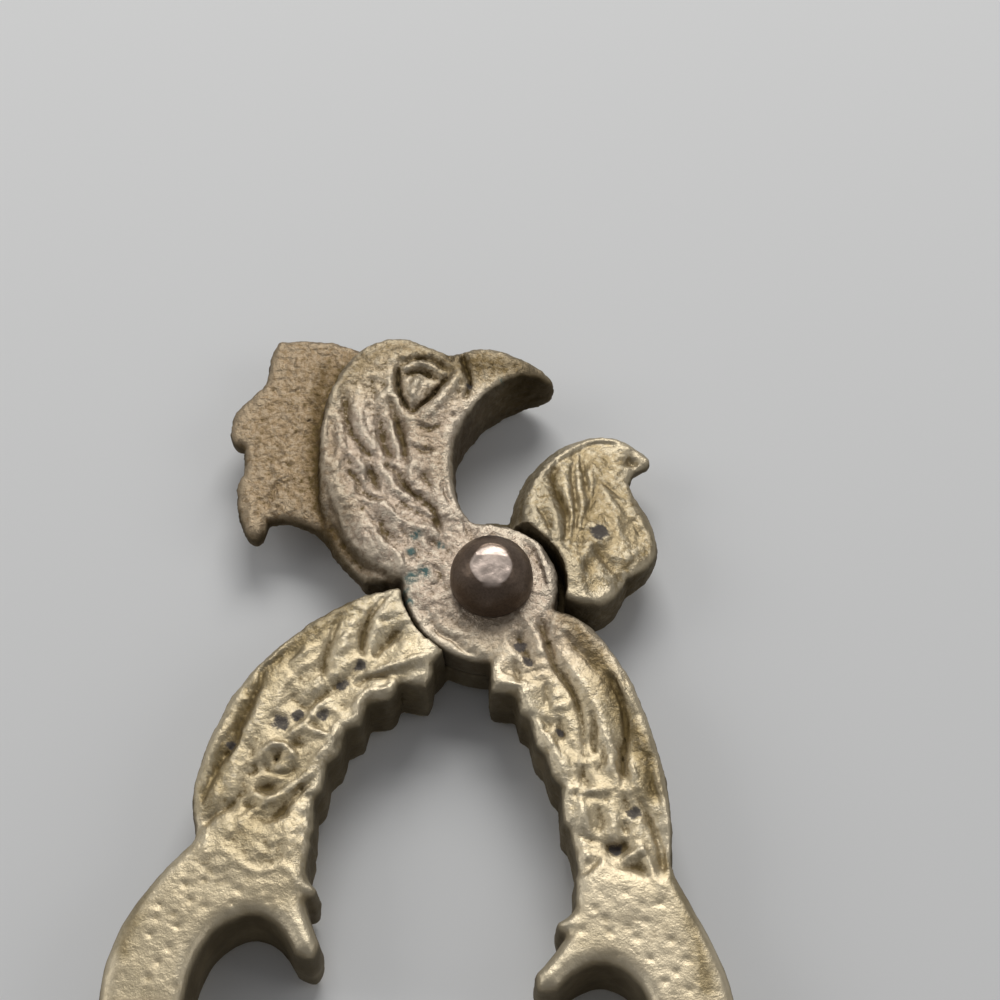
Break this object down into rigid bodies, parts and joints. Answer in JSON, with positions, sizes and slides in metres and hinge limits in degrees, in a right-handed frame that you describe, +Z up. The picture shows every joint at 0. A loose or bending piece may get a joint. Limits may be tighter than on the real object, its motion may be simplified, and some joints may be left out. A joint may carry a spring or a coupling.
{
  "type": "betel nut cutter",
  "caption": "Cast bronze betel nut cutter: two crossing levers on a domed rivet, one a crested bird's head with an open beak, the other its curved lower jaw, with crescent handle ends.",
  "frame": {"origin": "on the rivet's axis, on the hammered end of the rivet that lies on the table", "axes": "+Y from the rivet towards the bird's head, along the cutter's length; +X towards the lower jaw, across the handles; +Z up along the rivet's axis"},
  "size_m": [0.086, 0.1364, 0.0188],
  "materials": {
    "head_casting": "old worn sand-cast bronze with brown patina",
    "jaw_casting": "old worn sand-cast bronze with golden patina",
    "rivet": "dark brown hammered copper alloy",
    "rove": "dark brown hammered copper alloy"
  },
  "bodies": {
    "head": {"head_lever": "head_casting", "pivot_rivet": "rivet", "rivet_rove": "rove"},
    "jaw": {"jaw_lever": "jaw_casting"}
  },
  "joints": [
    {"name": "jaw_pivot", "type": "hinge", "parent": "head", "child": "jaw", "pos_m": [0, 0, 0.0065], "axis": [0, 0, 1], "range_deg": [0, 25]}
  ]
}
